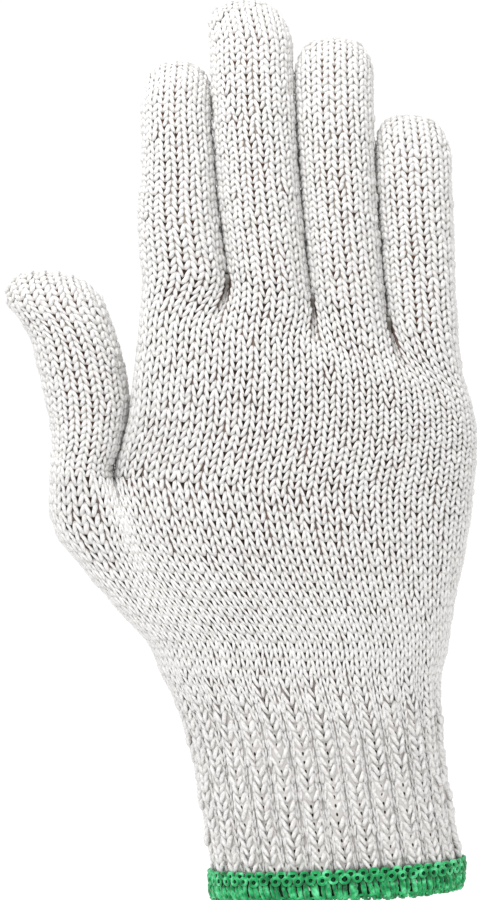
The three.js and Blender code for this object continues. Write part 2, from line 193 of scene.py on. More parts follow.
def add_camera():
    """A long lens that looks straight at the back of the hand."""
    data = bpy.data.cameras.new("camera")
    data.lens = LENS
    data.sensor_width = SENSOR
    camera = add_object("camera", data)
    distance = PHOTO_HEIGHT * PHOTO_SCALE * LENS / SENSOR
    camera.location = (
        (PHOTO_MIDDLE[0] - PHOTO_AXIS_X) * PHOTO_SCALE * MM,
        -distance * MM,
        (PHOTO_RIM_Y - PHOTO_MIDDLE[1]) * PHOTO_SCALE * MM,
    )
    camera.rotation_euler = (math.pi / 2, 0, 0)
    bpy.context.scene.camera = camera


def add_floor():
    """A plain pale floor a little below the wrist, where it casts no shadow into view."""
    half = FLOOR_SIZE / 2
    mesh = bpy.data.meshes.new("floor")
    corners = [(x * half, y * half, -FLOOR_DROP) for x, y in ((-1, -1), (1, -1), (1, 1), (-1, 1))]
    mesh.from_pydata(corners, [], [(0, 1, 2, 3)])
    mesh.materials.append(new_material("floor_paper", FLOOR_LOOK)[0])
    floor = add_object("floor", mesh)


def add_key_light():
    data = bpy.data.lights.new("key", "AREA")
    data.shape = "SQUARE"
    data.size = KEY_SIZE
    data.energy = KEY_POWER
    light = add_object("key", data)
    light.location = KEY_PLACE
    aim = Vector(KEY_TARGET) - Vector(KEY_PLACE)
    light.rotation_euler = aim.to_track_quat("-Z", "Y").to_euler()


def add_world():
    world = bpy.data.worlds.new("studio")
    world.use_nodes = True
    background = world.node_tree.nodes["Background"]
    background.inputs["Color"].default_value = (1, 1, 1, 1)
    background.inputs["Strength"].default_value = WORLD_STRENGTH
    bpy.context.scene.world = world


# Shape helpers

ROUND = np.linspace(math.pi, 0, 97)    # angles from the thumb side round to the other side


def ease(t):
    t = np.clip(t, 0, 1)
    return t * t * (3 - 2 * t)


def mix(a, b, t):
    return a + (b - a) * t


def unit(vectors):
    return vectors / np.maximum(np.linalg.norm(vectors, axis=-1, keepdims=True), TINY)


def run_lengths(points):
    """The length along a line of points up to each of them."""
    steps = np.linalg.norm(np.diff(points, axis=0), axis=1)
    return np.concatenate([[0], np.cumsum(steps)])


def smooth(rows, place):
    """Smooth values between the rows of a table, at a place in its first column."""
    table = np.array(rows, float)
    stops = table[:, 0]
    slopes = np.gradient(table, stops, axis=0)
    place = min(max(place, stops[0]), stops[-1])
    i = min(np.searchsorted(stops, place, side="right") - 1, len(stops) - 2)
    gap = stops[i + 1] - stops[i]
    t = (place - stops[i]) / gap
    start = (2 * t**3 - 3 * t**2 + 1) * table[i] + (t**3 - 2 * t**2 + t) * gap * slopes[i]
    end = (3 * t**2 - 2 * t**3) * table[i + 1] + (t**3 - t**2) * gap * slopes[i + 1]
    return (start + end)[1:]


def half_section(left, right, deep, square, shares):
    """Points at shares of the length of half a squared ellipse, from its left to its right end."""
    cos, sin = np.cos(ROUND), np.abs(np.sin(ROUND))
    x = np.where(cos < 0, -left, right) * np.abs(cos) ** (2 / square)
    y = deep * sin ** (2 / square)
    run = run_lengths(np.stack([x, y], -1))
    return np.interp(shares, run / run[-1], x), np.interp(shares, run / run[-1], y)


def half_steps(count):
    """Places at every half of count steps."""
    return np.arange(2 * count + 1) / 2


def knuckle_line(x):
    offset = (x - HAND_SHIFT) / PALM_HALF
    return KNUCKLE_HEIGHT - KNUCKLE_FALL * (x - HAND_SHIFT) - KNUCKLE_ARCH * offset**2


LOST_WALE = 0.5              # how much of a wale each of two stalls loses where they meet


def merge_knots(counts):
    """How neighbouring stalls share a hand's wales, of which one is lost where two stalls meet.

    Gives for each stall its knots: places in the hand's wales and in its own."""
    knots = []
    start = 0
    for n, count in enumerate(counts):
        hand, stall = [start], [0]
        first, last = n == 0, n == len(counts) - 1
        if not first:
            hand.append(start + LOST_WALE)
            stall.append(1)
        end = start + count - LOST_WALE * (2 - first - last)
        if not last:
            hand.append(end - LOST_WALE)
            stall.append(count - 1)
        hand.append(end)
        stall.append(count)
        knots.append((hand, stall))
        start = end
    return knots


PALM_KNOTS = merge_knots([f["wales"] for f in FINGERS])
PALM_WALES = int(PALM_KNOTS[-1][0][-1])
THUMB_KNOTS = merge_knots([THUMB_WALES, PALM_WALES])
HAND_WALES = int(THUMB_KNOTS[-1][0][-1])


# The fingers' surface

TIP_LIFT = 0.7               # the yarn's fullness over the round tips
STALL_SLANT_REACH = 0.6      # share of a finger over which its courses turn level


def place_fingers():
    edge = HAND_SHIFT - PALM_HALF
    for finger in FINGERS:
        finger["x"] = edge + finger["width"] / 2
        finger["base"] = knuckle_line(finger["x"])
        finger["shaft"] = finger["length"] - finger["tip"]
        edge += finger["width"] + FINGER_GAP


place_fingers()


def finger_axis(finger, up):
    lean = -FINGER_LEAN * up * (1 - up / (2 * LEAN_REACH))
    bend = FINGER_CURL * np.maximum(0, up / finger["length"]) ** 2
    return finger["x"] + lean, bend


def finger_halves(finger, share):
    """The left, right and deep half sizes of a finger at a share of its shaft."""
    left, right, deep = smooth(SHAFTS[finger["name"]], share)
    half = finger["width"] / 2
    return left * half, right * half, deep * finger["depth"] / 2


def finger_row(finger, face, wales, up, slant):
    """One course of a finger at the height up above the knuckle line."""
    across, out = half_section(*finger_halves(finger, up / finger["shaft"]), FINGER_SQUARENESS,
                               wales / finger["wales"])
    x = finger_axis(finger, up)[0] + across
    rise = up + slant * (knuckle_line(x) - finger["base"])
    axis_x, axis_y = finger_axis(finger, rise)
    return np.stack([axis_x + across, axis_y + face * out, finger["base"] + rise], -1)


def finger_grid(finger, face):
    """A finger's shaft from the webs to its round tip, at half steps of wales and courses."""
    wales = half_steps(finger["wales"])
    courses = round((finger["shaft"] - STALL_RISE) / FINGER_COURSE)
    rows = []
    for step in half_steps(courses):
        up = mix(STALL_RISE, finger["shaft"], step / courses)
        slant = 1 - ease((up - STALL_RISE) / (STALL_SLANT_REACH * finger["length"]))
        rows.append(finger_row(finger, face, wales, up, slant))
    return np.stack(rows, 1)


def finger_tip(finger):
    """The frame of a finger's round tip: its foot, its rise, its across and its half sizes."""
    left, right, deep = finger_halves(finger, 1)
    foot_x, foot_y = finger_axis(finger, finger["shaft"])
    top_x, top_y = finger_axis(finger, finger["length"])
    foot = np.array([foot_x, foot_y, finger["base"] + finger["shaft"]])
    rise = np.array([top_x - foot_x + finger["tip_step"] * finger["width"], top_y - foot_y,
                     finger["tip"] + TIP_LIFT])
    return {"foot": foot, "rise": rise, "across": np.array([1.0, 0, 0]), "left": left,
            "right": right, "deep": deep, "square": TIP_SQUARENESS}


# The thumb's surface

THUMB_START, THUMB_END = 0.015, 0.825  # shares of its length where the stitched shaft runs
THUMB_FULL = 0.8535                    # the share where the round tip's height is measured from
THUMB_TIP_LEAN = 4                     # how far the top of the thumb's tip lies outwards
THUMB_TIP_SQUARENESS = 2.45
THUMB_FIT_REACH = 0.35                 # share of a grid over which it is fitted at its foot


def thumb_section(share):
    """The thumb's section: its middle, direction to the inner edge, half sizes and set back."""
    rows = [((row[1] + row[3]) / 2, *row) for row in THUMB_ROWS]
    out_x, out_z, in_x, in_z, deep, back = smooth(rows, share)
    outer, inner = (
        np.array([THUMB_CROTCH_X + x * THUMB_WIDTH, 0, THUMB_CROTCH_Z + z * THUMB_LENGTH])
        for x, z in ((out_x, out_z), (in_x, in_z))
    )
    middle = (outer + inner) / 2
    half = np.linalg.norm(inner - middle)
    return middle, (inner - middle) / half, half, deep * THUMB_DEPTH / 2, back * THUMB_SET_BACK


def thumb_row(face, wales, share):
    middle, along, half, deep, back = thumb_section(share)
    across, out = half_section(half, half, deep, FINGER_SQUARENESS, wales / THUMB_WALES)
    points = middle + across[:, None] * along
    points[:, 1] = back + face * out
    return points


def thumb_grid(face):
    """The thumb's shaft, fitted at its foot to the top course of the lower hand."""
    wales = half_steps(THUMB_WALES)
    courses = round((THUMB_END - THUMB_START) * THUMB_LENGTH / FINGER_COURSE)
    foot = lower_row(face, np.interp(wales, *reversed(THUMB_KNOTS[0])), CROTCH_RISE)
    misfit = foot - thumb_row(face, wales, THUMB_START)
    rows = []
    for step in half_steps(courses):
        share = mix(THUMB_START, THUMB_END, step / courses)
        fade = 1 - ease(step / (THUMB_FIT_REACH * courses))
        rows.append(thumb_row(face, wales, share) + misfit * fade)
    return np.stack(rows, 1)


def thumb_tip():
    middle, along, half, deep, back = thumb_section(THUMB_END)
    height = THUMB_TIP_HEIGHT + (THUMB_FULL - THUMB_END) * THUMB_LENGTH
    rise = np.array([-along[2], 0, along[0]]) * height - THUMB_TIP_LEAN * along
    return {"foot": np.array([middle[0], back, middle[2]]), "rise": rise, "across": along,
            "left": half, "right": half, "deep": deep, "square": THUMB_TIP_SQUARENESS}


# The palm's surface

SET_BACK_FROM, SET_BACK_TO = -28, -62        # across the hand, towards the thumb
SET_BACK_RISE = (0, 0.27, 0.46, 0.7)         # shares of the palm: begins, full, full, ends
FINGER_VALLEY = 18           # how far the valleys between the fingers run down into the palm
THUMB_VALLEY = 14            # how far the valley beside the thumb runs down
VALLEY_POWER = 3             # how soon it fades below the thumb's crotch
VALLEY_SLOPE = 0.3           # how far it drifts across the hand as it runs down
VALLEY_FOOT = -0.3           # share of the thumb's length whose section it ends with
SLANT_TRIES = 3              # rounds that settle a height and a place that depend on each other
DENSE_SHARES = np.linspace(0, 1, 121)


def set_back(x, rise):
    """How far the thumb's side of the hand lies towards the palm."""
    across = ease((x - SET_BACK_FROM) / (SET_BACK_TO - SET_BACK_FROM))
    begin, full, hold, end = SET_BACK_RISE
    along = ease((rise - begin) / (full - begin)) * (1 - ease((rise - hold) / (end - hold)))
    return THUMB_SET_BACK * across * along


def slanted(x, rise, slant):
    """The height of a course at x, which follows the knuckle line by its slant."""
    return PALM_BASE + rise * PALM_LENGTH + slant * (knuckle_line(x) - KNUCKLE_HEIGHT)


def palm_row(face, shares, rise, left_edge=None):
    """One course of the palm at shares of its length across, from left_edge where given."""
    left, right, back, front, slant, square = smooth(PALM_ROWS, rise)
    deep = (back if face == BACK else front) * PALM_DEPTH / 2
    reach = left * PALM_HALF if left_edge is None else HAND_SHIFT - left_edge
    across, out = half_section(reach, right * PALM_HALF, deep, square, shares)
    x = HAND_SHIFT + across
    return np.stack([x, face * out + set_back(x, rise), slanted(x, rise, slant)], -1)


def upper_palm_row(face, wales, rise):
    """A course above the thumb, which turns from one wide section into the four stalls."""
    on_palm = palm_row(face, wales / PALM_WALES, rise)
    up = PALM_BASE + rise * PALM_LENGTH - KNUCKLE_HEIGHT
    one = ease((STALL_RISE - up) / FINGER_VALLEY)
    on_stalls = on_palm.copy()
    for finger, (hand, stall) in zip(FINGERS, PALM_KNOTS):
        mine = (wales >= hand[0]) & (wales <= hand[-1])
        on_stalls[mine] = finger_row(finger, face, np.interp(wales[mine], hand, stall), up, 1)
    return mix(on_stalls, on_palm, one)


def thumb_side(rise):
    """The hand's outer edge on the thumb's side at a height of the palm."""
    left, *_, slant, _ = smooth(PALM_ROWS, rise)
    heights = [THUMB_CROTCH_Z + row[1] * THUMB_LENGTH for row in THUMB_ROWS]
    edges = [THUMB_CROTCH_X + row[0] * THUMB_WIDTH for row in THUMB_ROWS]
    palm_edge = HAND_SHIFT - left * PALM_HALF
    edge = palm_edge
    for _ in range(SLANT_TRIES):
        edge = min(palm_edge, np.interp(slanted(edge, rise, slant), heights, edges))
    return edge


def lower_row(face, wales, rise, ribbing=0):
    """A course below the thumb's crotch, which is one section low down and two at the crotch."""
    outer = thumb_side(rise)
    below = (CROTCH_RISE - rise) * PALM_LENGTH
    spread = ease(below / (CROTCH_RISE * PALM_LENGTH))
    even = rib_shares(wales, ribbing)
    if spread >= 1:
        return palm_row(face, even, rise, outer)
    valley = THUMB_CROTCH_X + VALLEY_SLOPE * below
    (thumb_hand, thumb_stall), (palm_hand, palm_stall) = THUMB_KNOTS
    two = np.zeros((len(wales), 3))
    on_thumb = wales <= thumb_hand[-1]
    down = min(1, below / THUMB_VALLEY)
    *_, deep, back = thumb_section(mix(THUMB_START, VALLEY_FOOT, down))
    half = (valley - outer) / 2
    shares = np.interp(wales[on_thumb], thumb_hand, thumb_stall) / THUMB_WALES
    across, out = half_section(half, half, deep, FINGER_SQUARENESS, shares)
    x = (outer + valley) / 2 + across
    slant = smooth(PALM_ROWS, rise)[4]
    two[on_thumb] = np.stack([x, back + face * out, slanted(x, rise, slant)], -1)
    shares = np.interp(wales[~on_thumb], palm_hand, palm_stall) / PALM_WALES
    two[~on_thumb] = palm_row(face, shares, rise, valley)
    # The wales spread slowly over the one section, from where they stand on the two
    whole = palm_row(face, DENSE_SHARES, rise, outer)
    stood = np.interp(two[:, 0], whole[:, 0], DENSE_SHARES)
    one = palm_row(face, mix(stood, even, spread), rise, outer)
    return mix(two, one, 1 - (1 - down) ** VALLEY_POWER)


# The cuff's surface and the grids of the hand


def rib_shares(wales, ribbing):
    """Shares across a face for wales that are even on the palm and grouped in ribs on the cuff."""
    even = wales / HAND_WALES
    if ribbing <= 0:
        return even
    edges = [0.0]
    for rib in range(RIBS):
        for share in (RIB_FACE, (1 + RIB_FACE) / 2, 1):
            edges.append((rib + share) / RIBS)
    return mix(even, np.interp(wales, np.arange(len(edges)), edges), ribbing)


def rib_strength(height):
    return 1 - ease((height - RIB_START) / (RIB_END - RIB_START))


def rib_relief(wales, height):
    """How deep each wale lies under the crest of its rib."""
    off = np.abs(np.mod(wales, RIB_WALES) - RIB_CREST)
    away = np.minimum(off, RIB_WALES - off) / (RIB_WALES / 2)
    return RIB_DEPTH * rib_strength(height) * (1 - np.cos(math.pi * away)) / 2


def cuff_row(face, wales, rise):
    shift, spread = smooth(CUFF_ROWS, rise)
    _, left, right, back, front, _, square = PALM_ROWS[0]
    deep = (back if face == BACK else front) * PALM_DEPTH / 2
    height = CUFF_BASE + rise * CUFF_LENGTH
    half = mix(CUFF_WIDTH / 2, (left + right) / 2 * PALM_HALF, spread)
    across, out = half_section(half, half, mix(CUFF_DEPTH / 2, deep, spread),
                               mix(CUFF_SQUARENESS, square, spread),
                               rib_shares(wales, rib_strength(height)))
    x = HAND_SHIFT * shift + across
    y = face * out
    return np.stack([x, y, height + (1 - rise) * (HEM_TILT * x - HEM_DIP * y)], -1)


def lower_grid(face):
    """The hand from the wrist's edge to the thumb's crotch: the cuff and the lower palm."""
    wales = half_steps(HAND_WALES)
    rows, depths = [], []
    for step in half_steps(CUFF_COURSES)[:-1]:
        rise = step / CUFF_COURSES
        rows.append(cuff_row(face, wales, rise))
        depths.append(rib_relief(wales, CUFF_BASE + rise * CUFF_LENGTH))
    for step in half_steps(LOWER_COURSES):
        rise = CROTCH_RISE * step / LOWER_COURSES
        height = PALM_BASE + rise * PALM_LENGTH
        rows.append(lower_row(face, wales, rise, rib_strength(height)))
        depths.append(rib_relief(wales, height))
    grid = np.stack(rows, 1)
    return grid - grid_normals(grid, face) * np.stack(depths, 1)[..., None]


def upper_grid(face):
    """The palm from the thumb's crotch to the webs between the fingers."""
    wales = half_steps(PALM_WALES)
    rises = mix(CROTCH_RISE, (KNUCKLE_HEIGHT + STALL_RISE - PALM_BASE) / PALM_LENGTH,
                half_steps(UPPER_COURSES) / UPPER_COURSES)
    rows = [upper_palm_row(face, wales, rise) for rise in rises]
    # The first course takes its place from the lower hand's last one
    foot = lower_row(face, np.interp(wales, *reversed(THUMB_KNOTS[1])), CROTCH_RISE)
    misfit = foot - rows[0]
    for n, row in enumerate(rows):
        rows[n] = row + misfit * (1 - ease(n / (THUMB_FIT_REACH * len(rows))))
    return np.stack(rows, 1)


def grid_normals(grid, face):
    return unit(-face * np.cross(np.gradient(grid, axis=0), np.gradient(grid, axis=1)))


# Meshes


class Parts:
    """Vertices and faces gathered for one joined mesh."""

    def __init__(self):
        self.points, self.faces, self.slots, self.uvs = [], [], [], []
        self.count = 0

    def add_points(self, points):
        """Adds vertices and gives the number of the first one."""
        first = self.count
        self.points.append(points.reshape(-1, 3))
        self.count += len(self.points[-1])
        return first

    def add_faces(self, faces, slot, uvs=None):
        """faces holds the vertices' numbers, in its last axis, and uvs a pair for each corner."""
        faces = faces.reshape(-1, faces.shape[-1])
        self.faces.append(faces)
        self.slots.append(np.full(len(faces), slot))
        self.uvs.append(np.zeros((faces.size, 2)) if uvs is None else uvs.reshape(-1, 2))

    def build(self, name, materials):
        mesh = bpy.data.meshes.new(name)
        corners = np.concatenate([f.ravel() for f in self.faces])
        sizes = np.concatenate([np.full(len(f), f.shape[1]) for f in self.faces])
        starts = np.concatenate([[0], np.cumsum(sizes)[:-1]])
        slots = np.concatenate(self.slots)
        points = np.concatenate(self.points) * MM
        mesh.vertices.add(len(points))
        mesh.vertices.foreach_set("co", points.astype(np.float32).ravel())
        mesh.loops.add(len(corners))
        mesh.loops.foreach_set("vertex_index", corners.astype(np.int32))
        mesh.polygons.add(len(starts))
        mesh.polygons.foreach_set("loop_start", starts.astype(np.int32))
        mesh.polygons.foreach_set("material_index", slots.astype(np.int32))
        layer = mesh.uv_layers.new(name="yarn")
        layer.uv.foreach_set("vector", np.concatenate(self.uvs).astype(np.float32).ravel())
        mesh.update(calc_edges=True)
        mesh.validate()
        mesh.shade_smooth()
        for material in materials:
            mesh.materials.append(material)
        return add_object(name, mesh)


def hand_in(parts, name, node, materials):
    """Builds a piece that stands for a node of the frame."""
    piece = parts.build(name, materials)
    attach(piece, "root")
    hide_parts(node)


# Stitches

# HOLLOW is the wall's outer face, painted with the shade seen between the stitches
YARN, HOLLOW, LINING = 0, 1, 2         # a knitted piece's materials
LEG_RINGS = (0.04, 0.3, 0.7, 0.96)     # shares of a leg's length
LEG_SWELL = (0.72, 1, 1, 0.76)         # its thickness there
LEG_POINT = 0.07                       # how far the ends reach past the leg's length
LEG_PROBE = 0.03                       # half the share over which its direction is taken
LEG_SIDES = 5
LEG_RADIUS = 0.158                     # share of a wale's width
LEG_SHAPE = np.array([3.4, 2.09, 3.4])  # the sizes that a stitch's shares are drawn for
LEG_START = 0.062
LEG_BASE, LEG_REACH = -0.56, 1.36
LEG_SINK, LEG_TUCK_LOW, LEG_TUCK_HIGH = 0.1, 0.07, 0.2
FAT_JITTER = 0.07
MIN_YARN_WIDTH = 2.3         # a wale narrower than this keeps the yarn of this width
FULL_WALE = 3.5              # the width of a wale on the fingers
CLOSE_WALE = 0.5             # how much narrower wales keep the full yarn, as a power
SIDE_FAT = 0.3               # how much fuller the yarn looks where the knit is less stretched
TIP_FADE = 0.75              # share of a stall's shaft where the tip's knit begins to mix in


def leg_place(t, spread, bow):
    """The middle line of a leg: shares of the wale's width, of the course and of the width."""
    tuck = LEG_TUCK_LOW if t < 0.5 else LEG_TUCK_HIGH
    lift = -LEG_SINK - tuck * (2 * t - 1) ** 2
    across = spread * mix(t, math.sin(math.pi / 2 * min(t, 1)), bow)
    return np.array([LEG_START + across, LEG_BASE + LEG_REACH * t, lift])


def leg_template(spread, bow):
    """One leg of a stitch: each vertex's place on its line and its offset from it, and faces.

    The faces are those with four corners and with three. A corner is a vertex, u and v."""
    lines, offsets, quads, ends = [], [], [], []
    for t, swell in zip(LEG_RINGS, LEG_SWELL):
        ahead = leg_place(t + LEG_PROBE, spread, bow) - leg_place(t - LEG_PROBE, spread, bow)
        ahead = unit(ahead * LEG_SHAPE)
        side = unit(np.cross(ahead, (0, 0, 1)))
        up = np.cross(side, ahead)
        for n in range(LEG_SIDES):
            angle = 2 * math.pi * n / LEG_SIDES
            offset = LEG_RADIUS * swell * (math.cos(angle) * side + math.sin(angle) * up)
            lines.append(leg_place(t, spread, bow))
            offsets.append(offset * LEG_SHAPE[0] / LEG_SHAPE)
    for t in (-LEG_POINT, 1 + LEG_POINT):
        lines.append(leg_place(t, spread, bow))
        offsets.append(np.zeros(3))
    foot, head = len(lines) - 2, len(lines) - 1
    top = (len(LEG_RINGS) - 1) * LEG_SIDES
    for n in range(LEG_SIDES):
        after = (n + 1) % LEG_SIDES
        here, there = n / LEG_SIDES, (n + 1) / LEG_SIDES
        for ring in range(len(LEG_RINGS) - 1):
            a, b = ring * LEG_SIDES, (ring + 1) * LEG_SIDES
            low, high = LEG_RINGS[ring:ring + 2]
            quads.append([(a + n, here, low), (a + after, there, low),
                          (b + after, there, high), (b + n, here, high)])
        ends.append([(foot, here, 0), (after, there, LEG_RINGS[0]), (n, here, LEG_RINGS[0])])
        ends.append([(head, here, 1), (top + n, here, LEG_RINGS[-1]),
                     (top + after, there, LEG_RINGS[-1])])
    return np.array(lines), np.array(offsets), np.array(quads), np.array(ends)


def stitch_template(spread, bow):
    """Both legs of a stitch: its lines, its offsets and its kinds of faces with their UVs."""
    lines, offsets, *kinds = leg_template(spread, bow)
    mirror = np.array([-1, 1, 1])
    both = []
    for corners in kinds:
        twin = corners[:, ::-1] * (1, -1, 1) + (len(lines), 0, 0)
        corners = np.concatenate([corners, twin])
        both.append((corners[..., 0].astype(int), corners[..., 1:]))
    return (np.concatenate([lines, lines * mirror]),
            np.concatenate([offsets, offsets * mirror]), both)


# The kinds of knit: how full the yarn is, how far a stitch's legs spread and bow, how uneven the
# stitches are, how flat the yarn lies, and how deep the wall behind it, whose outer face is
# painted shade, lies between wales and within one
FINGER_KNIT = {"fat": 1.16, "spread": 0.305, "bow": 0.9, "uneven": 0.04, "flat": 0.85,
               "skin": (0.75, 1.15)}
TIP_KNIT = {"fat": 1.34, "spread": 0.31, "bow": 0.8, "uneven": 0.03, "flat": 0.62,
            "skin": (0.65, 0.8)}
PALM_KNIT = {"fat": 1.12, "spread": 0.32, "bow": 0.7, "uneven": 0.04, "flat": 0.9,
             "skin": (0.9, 1.1)}
CUFF_KNIT = {"fat": 0.86, "spread": 0.36, "bow": 0.1, "uneven": 0.07, "flat": 1,
             "skin": (0.6, 0.72)}
for knit in (FINGER_KNIT, TIP_KNIT, PALM_KNIT, CUFF_KNIT):
    knit["stitch"] = stitch_template(knit["spread"], knit["bow"])
HAND_KNITS = PALM_KNIT, CUFF_KNIT
STALL_KNITS = FINGER_KNIT, TIP_KNIT


def add_stitches(parts, centres, wides, talls, normals, face, knit):
    """Stitches at centres, spanned by their wale and course vectors."""
    lines, offsets, kinds = knit["stitch"]
    count = len(centres)
    width = np.linalg.norm(wides, axis=1)
    yarn = np.maximum(width, MIN_YARN_WIDTH)
    basis = np.stack([wides * -face, talls, normals * yarn[:, None]], 1)
    fat = knit["fat"] * np.maximum(1, FULL_WALE / yarn) ** CLOSE_WALE
    fat *= 1 + SIDE_FAT * (1 - np.abs(normals[:, 1]))
    fat *= yarn / width * (1 + FAT_JITTER * random.standard_normal(count))
    stray = knit["uneven"] * random.standard_normal((count, 3))
    centres = centres + np.einsum("ni,nij->nj", stray, basis)
    scale = np.stack([fat, np.ones(count), knit["flat"] * fat * width / yarn], 1)
    local = lines[None] + offsets[None] * scale[:, None]
    first = parts.add_points(centres[:, None] + np.einsum("nvi,nij->nvj", local, basis))
    shifts = (first + np.arange(count) * len(lines))[:, None, None]
    turn = random.random((count, 1, 1, 1)) * np.array([1, 0])
    for faces, uvs in kinds:
        parts.add_faces(faces[None] + shifts, YARN, uvs[None] + turn)


def rib_share(grid):
    """How much of the cuff's knit there is at each point of the hand."""
    return rib_strength(grid[..., 2])


def tip_share(grid):
    """How much of the tip's knit there is at each point of a stall."""
    along = np.linspace(0, 1, grid.shape[1])
    return np.broadcast_to(ease((along - TIP_FADE) / (1 - TIP_FADE)), grid.shape[:2])


def stitch_grid(parts, grid, face, knits, share):
    """A stitch on every wale and course of a grid with half steps.

    knits are two kinds of knit, and share is how much there is of the second at each point."""
    centres = grid[1::2, 1::2]
    wides = grid[2::2, 1::2] - grid[:-2:2, 1::2]
    talls = grid[1::2, 2::2] - grid[1::2, :-2:2]
    normals = unit(-face * np.cross(wides, talls))
    spans = [a.reshape(-1, 3) for a in (centres, wides, talls, normals)]
    second = random.random(len(spans[0])) < share[1::2, 1::2].reshape(-1)
    for knit, chosen in zip(knits, (~second, second)):
        if chosen.any():
            add_stitches(parts, *(a[chosen] for a in spans), face, knit)


# Round tips

TIP_STEPS = np.linspace(0, math.pi / 2, 49)
TIP_ROWS = 8                 # rows of points on the wall behind a tip
LEAST_SECTION = 1e-6         # keeps a direction defined at the very top


def tip_points(tip, face, share, deep, up):
    """Points of the round tip, from shares of its half width, half depth and height."""
    half = tip["left"] if share < 0 else tip["right"]
    points = (tip["foot"] + share * half * tip["across"])[None] + up[:, None] * tip["rise"]
    points[:, 1] += face * deep * tip["deep"]
    return points


def tip_normals(tip, face, share, deep, up):
    """The outward direction of the round tip, from the form's own equation."""
    a, p = FINGER_SQUARENESS, tip["square"]
    half = tip["left"] if share < 0 else tip["right"]
    height = np.linalg.norm(tip["rise"])
    section = np.maximum(abs(share)**a + deep**a, LEAST_SECTION) ** (p / a - 1)
    across = np.sign(share) * section * abs(share) ** (a - 1) / half
    rise = up ** (p - 1) / height
    normals = across[:, None] * tip["across"] + rise[:, None] * tip["rise"] / height
    normals[:, 1] += face * section * deep ** (a - 1) / tip["deep"]
    return unit(normals)


def tip_wale(tip, face, share):
    """A wale over the round tip, which keeps its share of the half width and runs to the ridge.

    Gives its points, the length up to each, and a function from lengths along it to points and
    outward directions."""
    a, p = FINGER_SQUARENESS, tip["square"]
    size = abs(share)
    deep = max(0, 1 - size**a) ** (1 / a) * np.cos(TIP_STEPS)
    section = (size**a + deep**a) ** (1 / a)
    up = np.maximum(0, 1 - section**p) ** (1 / p)
    points = tip_points(tip, face, share, deep, up)
    run = run_lengths(points)

    def surface(at):
        place = np.interp(at, run, deep), np.interp(at, run, up)
        return tip_points(tip, face, share, *place), tip_normals(tip, face, share, *place)

    return points, run, surface


def tip_section(tip, places, wales):
    """The foot of a tip at places that count its wales: across and out."""
    return half_section(tip["left"], tip["right"], tip["deep"], FINGER_SQUARENESS, places / wales)


def tip_shares(tip, places, wales):
    across, _ = tip_section(tip, places, wales)
    return np.where(across < 0, across / tip["left"], across / tip["right"])


def stitch_tip(parts, tip, face, wales):
    edges = np.stack(tip_section(tip, half_steps(wales), wales), -1)
    widths = np.diff(run_lengths(edges)[::2])
    spans = []
    for share, width in zip(tip_shares(tip, np.arange(wales) + 0.5, wales), widths):
        points, run, surface = tip_wale(tip, face, share)
        count = max(1, round(run[-1] / FINGER_COURSE))
        step = run[-1] / count
        at = (np.arange(count) + 0.5) / count * run[-1]
        centres, normals = surface(at)
        before, after = (np.stack([np.interp(near, run, line) for line in points.T], -1)
                         for near in (at - step / 4, at + step / 4))
        ahead = after - before
        ahead = unit(ahead - normals * np.sum(ahead * normals, axis=1, keepdims=True))
        wides = np.cross(ahead, normals) * width * -face
        spans.append((centres, wides, ahead * step, normals))
    add_stitches(parts, *map(np.concatenate, zip(*spans)), face, TIP_KNIT)


def tip_grid(tip, face, wales):
    """The round tip's surface as a grid of points and normals that ends at its ridge."""
    lines = []
    for share in tip_shares(tip, half_steps(wales), wales):
        _, run, surface = tip_wale(tip, face, share)
        lines.append(surface(np.linspace(0, run[-1], TIP_ROWS)))
    points, normals = zip(*lines)
    return np.stack(points), np.stack(normals)


# The wall behind the yarn, whose outer face is painted with the shade seen between the stitches

WALL_DEPTH = 2.6             # how deep the inner face lies


def add_wall(parts, grid, normals, face, knits, share):
    """A closed slab behind a grid: its outer face of painted shade, its pale inner face and its
    edges.
    """
    columns, rows = grid.shape[:2]
    inside = np.arange(columns)[:, None] % 2
    depths = mix(*(mix(*knit["skin"], inside) for knit in knits), share)[..., None]
    first = parts.add_points(grid - normals * depths)
    under = parts.add_points(grid - normals * WALL_DEPTH)
    index = np.arange(columns * rows).reshape(columns, rows)
    outer = np.stack([index[:-1, :-1], index[1:, :-1], index[1:, 1:], index[:-1, 1:]], -1)
    rim = np.concatenate([index[:, 0], index[-1, 1:], index[-2::-1, -1], index[0, -2:0:-1]])
    after = np.roll(rim, -1)
    sides = np.stack([after + first, rim + first, rim + under, after + under], 1)
    if face == PALM:
        outer, sides = outer[..., ::-1], sides[:, ::-1]
    inner = outer[..., ::-1]
    parts.add_faces(outer + first, HOLLOW, grid_uvs(outer, rows))
    parts.add_faces(inner + under, LINING, grid_uvs(inner, rows))
    parts.add_faces(sides, LINING)


def grid_uvs(faces, rows):
    """UVs that count half wales and half courses."""
    return np.stack([faces // rows, faces % rows], -1) / 2


def share_edges(normals):
    """Both faces' normals made one along the sides where they meet."""
    for column in (0, -1):
        both = unit(normals[BACK][column] + normals[PALM][column])
        normals[BACK][column] = both
        normals[PALM][column] = both


# The overlocked edge. A place on its roll's section is 0 at the outer top, 1 at the outer foot,
# 2 at the inner foot and 3 at the inner top.

# The second of the edge's materials is painted shade: the dark roll under the threads and the
# holes in the loops
THREAD, PAINTED_SHADE, SPECK = 0, 1, 2          # the edge's materials
HEM_PITCH = 3.15
HEM_ANGLES = 721
HEM_LOOK = 0.5               # length round the edge over which its direction is taken
HEM_PROBE = 0.05             # half the stretch of the section over which its direction is taken

# The roll's section: place, out and up
HEM_ROWS = [(0, -0.35, HEM_HEIGHT + 0.4), (0.5, 0.3, 3.9), (1, -0.3, 0.65), (1.25, -1.0, 0.1),
            (1.75, -1.7, 0.1), (2, -2.3, 0.65), (2.5, -2.75, 3.9), (3, -2.4, HEM_HEIGHT)]

